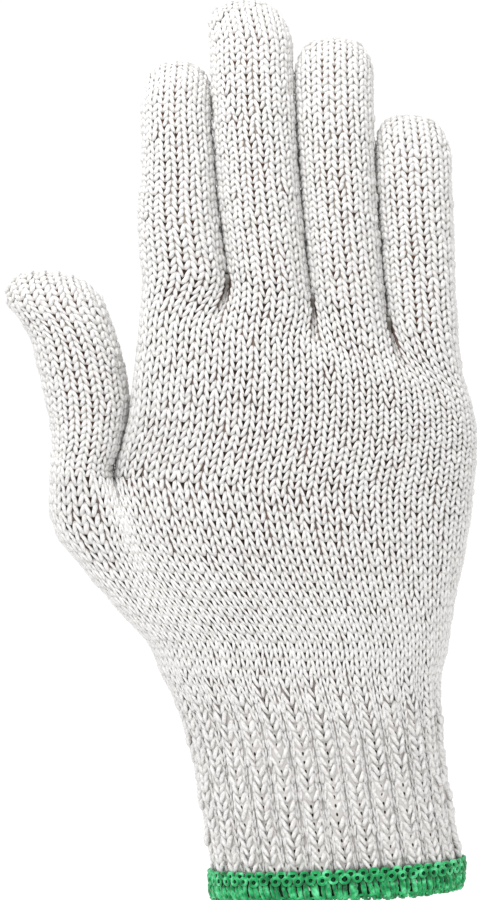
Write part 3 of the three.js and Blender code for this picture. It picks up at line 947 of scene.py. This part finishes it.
TUBE_SIDES = 6
TUBE_POINT = 0.6             # how far a tube's ends are drawn out, as a share of its radius
TUBE_NUDGE = (0.01, 0.02, 0.03)        # keeps a tube's sides defined where it runs straight
TUBE_TURN = 0.05             # how much a tube's bend turns its sides, which keeps them defined
TUBE_UP = (0.0, 0.0, 1.0)

WOBBLE_WAVES, WOBBLE_RATE = 9, 3

# The dark roll under the threads, of painted shade, in points round the edge and over its section
ROLL_STEPS, ROLL_ROWS = 160, 15
ROLL_START, ROLL_END, ROLL_LIFT = 0.06, 2.9, -0.3

# Strays are standard deviations, of a length, of a place or as a share of the size
WRAPS_A_STITCH = 2
WRAP_STEPS = 15
WRAP_TOP, WRAP_END = 0.33, 2.65        # places where a turn of thread begins and ends
WRAP_SLANT, WRAP_SLANT_END = 1.1, 1.3
WRAP_RADIUS, WRAP_THIN = 0.8, 0.78
WRAP_LIFT, WRAP_BULGE = 0.1, 0.45
# The wraps' painted shade by place: dark where they start at the top and from the edge's foot
# round to the inside
WRAP_SHADE = (0.33, 0.45, 0.7, 1), (0, 0.5, 0.5, 0.04)
WRAP_STRAY = {"along": 0.16, "place": 0.03, "slant": 0.35, "lift": 0.14, "radius": 0.1}

BUMP_PLACE, BUMP_REACH, BUMP_LIFT = 0.96, 0.03, 0.8
BUMP_RADIUS, BUMP_TAPER = 0.46, 0.35
BUMP_STRAY = {"along": 0.15, "place": 0.03, "radius": 0.12}

RING_ROWS = [(0.265, 0.5, 1.1), (0.085, 0, 1.15)]      # place, shift in stitches and lift
RING_STEPS = 14
RING_REACH, RING_YARN = 1.02, 0.46
RING_TALL, RING_LEAN = 0.115, 0.25
RING_STRAY = {"along": 0.14, "place": 0.012, "reach": 0.07, "radius": 0.08}
HOLE_REACH, HOLE_SINK, HOLE_RADIUS = 0.06, 0.4, 0.62

# Rows of looped thread: place, tall, wide, lift, shift in stitches and radius
LOOP_ROWS = [(0.97, -0.09, 1.2, 0.75, 0.5, 0.36), (2.75, 0.12, 1.4, 0.2, 0, 0.43)]
LOOP_STEPS = 18
LOOP_DIP = 0.3
LOOP_DRIFT = {"along": 0.25, "place": 0.012, "lift": 0.06, "radius": 0.07}

WHITE_SPECKS = 26
SPECK_REACH, SPECK_STEPS = 0.6, 5
SPECK_PLACE, SPECK_SPAN, SPECK_TALL = 0.42, 0.4, 0.1
SPECK_BEND, SPECK_LIFT, SPECK_RADIUS = 0.5, 0.35, 0.24


def hem_outline():
    """The wrist's outline at the edge: its points and the length round it up to each."""
    angles = np.linspace(0, 2 * math.pi, HEM_ANGLES)
    power = 2 / CUFF_SQUARENESS
    cos, sin = np.cos(angles), np.sin(angles)
    x = np.sign(cos) * np.abs(cos) ** power * CUFF_WIDTH / 2
    y = np.sign(sin) * np.abs(sin) ** power * CUFF_DEPTH / 2
    x += HAND_SHIFT * CUFF_ROWS[0][1]
    return x, y, run_lengths(np.stack([x, y], -1))


HEM_X, HEM_Y, HEM_RUN = hem_outline()
HEM_GIRTH = HEM_RUN[-1]
HEM_STITCHES = round(HEM_GIRTH / HEM_PITCH)


def hem_profile(place):
    stops, out, up = zip(*HEM_ROWS)
    return np.interp(place, stops, out), np.interp(place, stops, up)


def hem_points(along, place, lift):
    """Points on the roll: a length round it, a place on its section and a lift off its surface."""
    (x, y), (ahead_x, ahead_y) = (
        [np.interp(np.mod(at, HEM_GIRTH), HEM_RUN, line) for line in (HEM_X, HEM_Y)]
        for at in (along, along + HEM_LOOK)
    )
    length = np.hypot(ahead_x - x, ahead_y - y)
    out_x, out_y = (ahead_y - y) / length, (x - ahead_x) / length
    out, up = hem_profile(place)
    near = np.clip(place, HEM_PROBE, HEM_ROWS[-1][0] - HEM_PROBE)
    before, after = hem_profile(near - HEM_PROBE), hem_profile(near + HEM_PROBE)
    turn_out, turn_up = after[0] - before[0], after[1] - before[1]
    size = np.hypot(turn_out, turn_up)
    out = out - turn_up / size * lift
    up = up + turn_out / size * lift
    x, y = x + out_x * out, y + out_y * out
    return np.stack([x, y, up + HEM_TILT * x - HEM_DIP * y], -1)


def add_tube(parts, points, radius, slot, closed=False, shade=0.5):
    """A yarn along points: a ring if closed, and with its ends closed to a point if not.

    shade is the second UV along it, which the yarn's material darkens with painted shade towards 0
    and 1."""
    count = len(points)
    if closed:
        ahead = unit(np.roll(points, -1, 0) - np.roll(points, 1, 0))
    else:
        ahead = unit(np.gradient(points, axis=0))
    bend = np.cross(ahead, np.gradient(ahead, axis=0) + TUBE_NUDGE)
    side = unit(np.cross(ahead, TUBE_UP + TUBE_TURN * bend))
    up = np.cross(side, ahead)
    angles = 2 * math.pi * np.arange(TUBE_SIDES) / TUBE_SIDES
    ring = np.cos(angles)[:, None] * side[:, None] + np.sin(angles)[:, None] * up[:, None]
    thick = np.broadcast_to(radius, count)[:, None, None]
    first = parts.add_points(points[:, None] + thick * ring)
    index = first + np.arange(count * TUBE_SIDES).reshape(count, TUBE_SIDES)
    after = np.roll(index, -1, 1)
    faces = np.stack([index, after, np.roll(after, -1, 0), np.roll(index, -1, 0)], -1)
    shades = np.broadcast_to(shade, count)[:, None]
    uvs = np.stack(np.broadcast_arrays(np.arange(TUBE_SIDES) / TUBE_SIDES, shades), -1)
    uvs = np.repeat(uvs[:, :, None], 4, 2)
    if closed:
        parts.add_faces(faces, slot, uvs)
        return
    parts.add_faces(faces[:-1], slot, uvs[:-1])
    foot = parts.add_points(np.stack([points[0] - ahead[0] * thick[0, 0] * TUBE_POINT,
                                      points[-1] + ahead[-1] * thick[-1, 0] * TUBE_POINT]))
    low = np.stack([np.full(TUBE_SIDES, foot), after[0], index[0]], 1)
    high = np.stack([np.full(TUBE_SIDES, foot + 1), index[-1], after[-1]], 1)
    ends = np.concatenate([low, high])
    parts.add_faces(ends, slot, np.full((*ends.shape, 2), 0.5))


def wobble(count, size):
    """A smooth seeded drift that closes on itself."""
    turn = np.linspace(0, 2 * math.pi, count, endpoint=False)
    total = np.zeros(count)
    for wave in range(2, WOBBLE_WAVES + 2):
        phase = random.random() * 2 * math.pi
        total += np.sin(turn * wave * WOBBLE_RATE + phase) / math.sqrt(WOBBLE_WAVES)
    return total * size


def add_roll(parts):
    """A dark roll under the threads, painted with the shade between them."""
    along = np.linspace(0, HEM_GIRTH, ROLL_STEPS, endpoint=False)
    places = np.linspace(ROLL_START, ROLL_END, ROLL_ROWS)
    first = parts.add_points(np.stack([hem_points(along, p, ROLL_LIFT) for p in places], 1))
    index = first + np.arange(ROLL_STEPS * ROLL_ROWS).reshape(ROLL_STEPS, ROLL_ROWS)
    after = np.roll(index, -1, 0)
    faces = np.stack([index, np.roll(index, -1, 1), np.roll(after, -1, 1), after], -1)
    parts.add_faces(faces, PAINTED_SHADE)


def add_wraps(parts):
    """Fat turns of thread side by side over the roll and round its foot, each slanted a little."""
    count = HEM_STITCHES * WRAPS_A_STITCH
    steps = np.linspace(0, 1, WRAP_STEPS)
    for n in range(count):
        along = n / count * HEM_GIRTH + random.normal(0, WRAP_STRAY["along"])
        place = mix(WRAP_TOP + random.normal(0, WRAP_STRAY["place"]), WRAP_END, steps)
        slant = WRAP_SLANT * (1 + random.normal(0, WRAP_STRAY["slant"]))
        down = (place - WRAP_TOP) / (1 - WRAP_TOP)
        bulge = np.sin(math.pi * np.clip(down, 0, 1))
        lift = WRAP_LIFT + WRAP_BULGE * bulge + random.normal(0, WRAP_STRAY["lift"])
        radius = WRAP_RADIUS * mix(WRAP_THIN, 1, bulge)
        radius *= 1 + random.normal(0, WRAP_STRAY["radius"])
        turned = slant * np.minimum(down, WRAP_SLANT_END)
        shade = np.interp(place, *WRAP_SHADE)
        add_tube(parts, hem_points(along + turned, place, lift), radius, THREAD, shade=shade)


def add_bumps(parts):
    """Small round knots along the edge's foot."""
    steps = np.linspace(-1, 1, 3)
    for n in range(HEM_STITCHES):
        along = n / HEM_STITCHES * HEM_GIRTH + random.normal(0, BUMP_STRAY["along"])
        place = BUMP_PLACE + random.normal(0, BUMP_STRAY["place"]) + BUMP_REACH * steps
        radius = BUMP_RADIUS * (1 - BUMP_TAPER * steps**2)
        radius *= 1 + random.normal(0, BUMP_STRAY["radius"])
        add_tube(parts, hem_points(along, place, BUMP_LIFT), radius, THREAD)


def add_rings(parts, height, shift, lift):
    """A row of round loops along the edge, each over a dark tube painted with the shade in its
    hole.
    """
    turns = np.linspace(0, 2 * math.pi, RING_STEPS, endpoint=False)
    steps = np.linspace(-1, 1, 3)
    for n in range(HEM_STITCHES):
        along = (n + shift) / HEM_STITCHES * HEM_GIRTH + random.normal(0, RING_STRAY["along"])
        place = height + random.normal(0, RING_STRAY["place"])
        reach = RING_REACH * (1 + random.normal(0, RING_STRAY["reach"]))
        ring = hem_points(along + reach * np.cos(turns), place + reach * RING_TALL * np.sin(turns),
                          lift - RING_LEAN * np.sin(turns))
        radius = RING_YARN * (1 + random.normal(0, RING_STRAY["radius"]))
        add_tube(parts, ring, radius, THREAD, closed=True)
        # A dark tube of painted shade in the loop's hole
        hole = hem_points(along, place + HOLE_REACH * steps, lift - HOLE_SINK)
        add_tube(parts, hole, HOLE_RADIUS, PAINTED_SHADE)


def add_loops(parts, height, tall, wide, lift, shift, radius):
    """A row of round loops: a curling thread whose loops leave a hole in each."""
    turn = np.linspace(0, 2 * math.pi * HEM_STITCHES, LOOP_STEPS * HEM_STITCHES, endpoint=False)
    count = len(turn)
    along = (turn / (2 * math.pi) + shift) * HEM_GIRTH / HEM_STITCHES - wide * np.sin(turn)
    along += wobble(count, LOOP_DRIFT["along"])
    place = height - tall * np.cos(turn) + wobble(count, LOOP_DRIFT["place"])
    lift = lift - LOOP_DIP * np.sin(turn / 2) ** 2 + wobble(count, LOOP_DRIFT["lift"])
    radius = radius * (1 + wobble(count, LOOP_DRIFT["radius"]))
    add_tube(parts, hem_points(along, place, lift), radius, THREAD, closed=True)


def add_specks(parts):
    """A few ends of white yarn caught between the green threads."""
    steps = np.linspace(-SPECK_REACH, SPECK_REACH, SPECK_STEPS)
    for _ in range(WHITE_SPECKS):
        along = random.random() * HEM_GIRTH
        place = SPECK_PLACE + SPECK_SPAN * random.random()
        bend = random.normal(0, SPECK_BEND)
        points = hem_points(along + steps * bend, place + SPECK_TALL * steps, SPECK_LIFT)
        add_tube(parts, points, SPECK_RADIUS, SPECK)


# Materials

# Reliefs are in metres, and scales are for places in metres or in wales and courses
YARN_ROUGHNESS = 0.95
YARN_RELIEF = 0.0002
PLY_BUMP, FUZZ_BUMP, FUZZ_SCALE = 0.35, 0.5, 5200
SPOT_PLACE = 0.5             # share of a course where the hole of a stitch lies
INSIDE_BUMP, INSIDE_RELIEF, INSIDE_SCALE = 0.8, 0.0006, 1.4

# Painted shade darkens the yarn where it tucks under its neighbours, at both ends of a leg
TUCK_SHADE = [(0.0, (0.72, 0.7, 0.68)), (0.2, (0.95, 0.945, 0.94)), (0.35, (1, 1, 1)),
              (0.7, (1, 1, 1)), (0.85, (0.94, 0.935, 0.93)), (1.0, (0.75, 0.73, 0.71))]
# The purl face's colours: pale on its bumps and darker between them, painted shade
INSIDE_COLOURS = [(0.1, (0.72, 0.71, 0.68)), (0.6, (0.34, 0.32, 0.29))]

# patch is the scale of the colour's patches, and spot the size of a hole across and along
COTTON = {"shade": (0.6, 0.59, 0.575), "mid": (0.74, 0.73, 0.72), "light": (0.82, 0.815, 0.805),
          "sheen": 0.1, "patch": 1300}
GREEN = {"shade": (0.001, 0.11, 0.03), "mid": (0.008, 0.36, 0.1), "light": (0.16, 0.8, 0.38),
         "sheen": 0.35, "patch": 420}
# The hollows' colours are painted shade seen between the stitches: dark in each stitch's hole and
# paler between wales
FINGER_HOLLOW = {"dark": (0.15, 0.075, 0.05), "pale": (0.34, 0.29, 0.25), "spot": (0.3, 0.9)}
PALM_HOLLOW = {"dark": (0.08, 0.045, 0.035), "pale": (0.2, 0.15, 0.125), "spot": (0.3, 0.9)}
RIB_HOLLOW = {"dark": (0.03, 0.02, 0.015), "pale": (0.58, 0.56, 0.54), "spot": (0.09, 0.25)}
HEM_SHADE_COLOURS = {"dark": (0.0, 0.012, 0.004), "pale": (0.002, 0.05, 0.016), "spot": (0.3, 0.9)}


def add_node(tree, kind, inputs=(), **settings):
    """A shader node with its settings, and with a link or a value at each of its inputs."""
    node = tree.nodes.new("ShaderNode" + kind)
    for name, value in settings.items():
        setattr(node, name, value)
    for name, value in dict(inputs).items():
        if isinstance(value, bpy.types.NodeSocket):
            tree.links.new(value, node.inputs[name])
        else:
            node.inputs[name].default_value = value
    return node


def cloth_material(name, roughness, sheen):
    return new_material(name, {"Roughness": roughness, "Sheen Weight": sheen,
                               "Sheen Roughness": 0.5, "Specular IOR Level": 0.2})


def yarn_uv(tree):
    return add_node(tree, "UVMap", uv_map="yarn").outputs["UV"]


def object_place(tree):
    return add_node(tree, "TexCoord").outputs["Object"]


def axis_of(tree, vector, axis):
    return add_node(tree, "SeparateXYZ", {"Vector": vector}).outputs[axis]


def noise(tree, scale, detail):
    inputs = {"Vector": object_place(tree), "Scale": scale, "Detail": detail}
    return add_node(tree, "TexNoise", inputs).outputs["Fac"]


def maths(tree, operation, *values):
    return add_node(tree, "Math", enumerate(values), operation=operation).outputs["Value"]


def mix_colours(tree, factor, a, b, blend="MIX"):
    inputs = {"Factor": factor, "A": a, "B": b}
    mixed = add_node(tree, "Mix", inputs, data_type="RGBA", blend_type=blend)
    return mixed.outputs["Result"]


def colour_ramp(tree, factor, stops):
    ramp = add_node(tree, "ValToRGB", {"Fac": factor})
    elements = ramp.color_ramp.elements
    while len(elements) < len(stops):
        elements.new(0.5)
    for element, (place, colour) in zip(elements, stops):
        element.position = place
        element.color = (*colour, 1)
    return ramp.outputs["Color"]


def yarn_material(name, shade, mid, light, sheen, patch):
    """Loosely spun yarn: plies that wind round it, fuzz and uneven colour."""
    material, tree, shader = cloth_material(name, YARN_ROUGHNESS, sheen)
    patches = colour_ramp(tree, noise(tree, patch, 3), [(0.3, shade), (0.5, mid), (0.72, light)])
    uv = yarn_uv(tree)
    # Painted shade at the ends of each leg, and on the hem's wraps by their place
    tucked = colour_ramp(tree, axis_of(tree, uv, "Y"), TUCK_SHADE)
    colour = mix_colours(tree, 1, patches, tucked, "MULTIPLY")
    tree.links.new(colour, shader.inputs["Base Color"])
    plies = add_node(tree, "TexWave", {"Vector": uv, "Scale": 0.9, "Distortion": 1.2, "Detail": 2},
                     bands_direction="DIAGONAL")
    twist = add_node(tree, "Bump", {"Height": plies.outputs["Fac"], "Strength": PLY_BUMP,
                                    "Distance": YARN_RELIEF})
    fuzz = add_node(tree, "Bump", {"Height": noise(tree, FUZZ_SCALE, 4), "Strength": FUZZ_BUMP,
                                   "Distance": YARN_RELIEF, "Normal": twist.outputs["Normal"]})
    tree.links.new(fuzz.outputs["Normal"], shader.inputs["Normal"])
    return material


def spot_colour(tree, dark, pale, spot):
    """Painted shade: a dark spot of the given size within each wale, on a paler ground."""
    uv = yarn_uv(tree)
    wale = maths(tree, "PINGPONG", axis_of(tree, uv, "X"), 0.5)
    course = maths(tree, "FRACT", axis_of(tree, uv, "Y"))
    offs = maths(tree, "SUBTRACT", 0.5, wale), maths(tree, "SUBTRACT", course, SPOT_PLACE)
    shares = [maths(tree, "DIVIDE", off, size) for off, size in zip(offs, spot)]
    squares = [maths(tree, "MULTIPLY", share, share) for share in shares]
    return colour_ramp(tree, maths(tree, "ADD", *squares), [(0.5, dark), (1.0, pale)])


def hollow_material(name, hollow, low=None):
    """Painted shade for the wall seen deep between the stitches: dark within a wale and paler
    between two.

    low takes the place of hollow where the ribs are strong."""
    material, tree, shader = cloth_material(name, 1, 0)
    colour = spot_colour(tree, **hollow)
    if low:
        share = add_node(tree, "MapRange", {"Value": axis_of(tree, object_place(tree), "Z"),
                                            "From Min": RIB_START * MM, "From Max": RIB_END * MM},
                         interpolation_type="SMOOTHSTEP")
        colour = mix_colours(tree, share.outputs["Result"], spot_colour(tree, **low), colour)
    tree.links.new(colour, shader.inputs["Base Color"])
    return material


def lining_material():
    """The purl face inside the glove: rows of small bumps, with painted shade between them."""
    material, tree, shader = cloth_material("knit_inside", YARN_ROUGHNESS, 0.2)
    loops = add_node(tree, "TexVoronoi", {"Vector": yarn_uv(tree), "Scale": INSIDE_SCALE})
    distance = loops.outputs["Distance"]
    tree.links.new(colour_ramp(tree, distance, INSIDE_COLOURS), shader.inputs["Base Color"])
    bump = add_node(tree, "Bump", {"Height": distance, "Strength": INSIDE_BUMP,
                                   "Distance": INSIDE_RELIEF}, invert=True)
    tree.links.new(bump.outputs["Normal"], shader.inputs["Normal"])
    return material


COTTON_YARN = yarn_material("cotton_yarn", **COTTON)
INSIDE = lining_material()
FINGER_MATERIALS = [COTTON_YARN, hollow_material("finger_hollow", FINGER_HOLLOW), INSIDE]
HAND_MATERIALS = [COTTON_YARN, hollow_material("hand_hollow", PALM_HOLLOW, RIB_HOLLOW), INSIDE]
HEM_MATERIALS = [yarn_material("green_yarn", **GREEN), hollow_material("green_painted_shade", HEM_SHADE_COLOURS),
                 COTTON_YARN]


# Building the pieces


def dress_hand(name, node, face, sheets):
    """A piece of one face of the hand: stitches over a wall on each of its sheets."""
    parts = Parts()
    for sheet in sheets:
        share = rib_share(sheet)
        add_wall(parts, sheet, grid_normals(sheet, face), face, HAND_KNITS, share)
        stitch_grid(parts, sheet, face, HAND_KNITS, share)
    hand_in(parts, name, node, HAND_MATERIALS)


def dress_stall(node, grids, tip, wales):
    """A stall: stitches over a wall on both faces of its shaft and of its round tip."""
    parts = Parts()
    normals = {face: grid_normals(grid, face) for face, grid in grids.items()}
    share_edges(normals)
    for face, grid in grids.items():
        share = tip_share(grid)
        add_wall(parts, grid, normals[face], face, STALL_KNITS, share)
        stitch_grid(parts, grid, face, STALL_KNITS, share)
        add_wall(parts, *tip_grid(tip, face, wales), face, (TIP_KNIT, TIP_KNIT), 0)
        stitch_tip(parts, tip, face, wales)
    hand_in(parts, f"{node}_knit", node, FINGER_MATERIALS)


def dress_hem():
    parts = Parts()
    add_roll(parts)
    add_wraps(parts)
    add_bumps(parts)
    for row in RING_ROWS:
        add_rings(parts, *row)
    for row in LOOP_ROWS:
        add_loops(parts, *row)
    add_specks(parts)
    hand_in(parts, "overlock_threads", "overlock_edge", HEM_MATERIALS)


add_camera()
add_floor()
add_world()
add_key_light()
bpy.context.scene.view_settings.view_transform = "Standard"

CUFF_SPLIT = 2 * CUFF_COURSES
for face, label in ((BACK, "back"), (PALM, "front")):
    lower, upper = lower_grid(face), upper_grid(face)
    dress_hand(f"cuff_{label}", "rib_cuff", face, [lower[:, :CUFF_SPLIT + 1]])
    dress_hand(f"palm_{label}", "palm_shell", face, [lower[:, CUFF_SPLIT:], upper])
for finger in FINGERS:
    dress_stall(finger["name"], {face: finger_grid(finger, face) for face in (BACK, PALM)},
                finger_tip(finger), finger["wales"])
dress_stall("thumb", {face: thumb_grid(face) for face in (BACK, PALM)}, thumb_tip(), THUMB_WALES)
dress_hem()
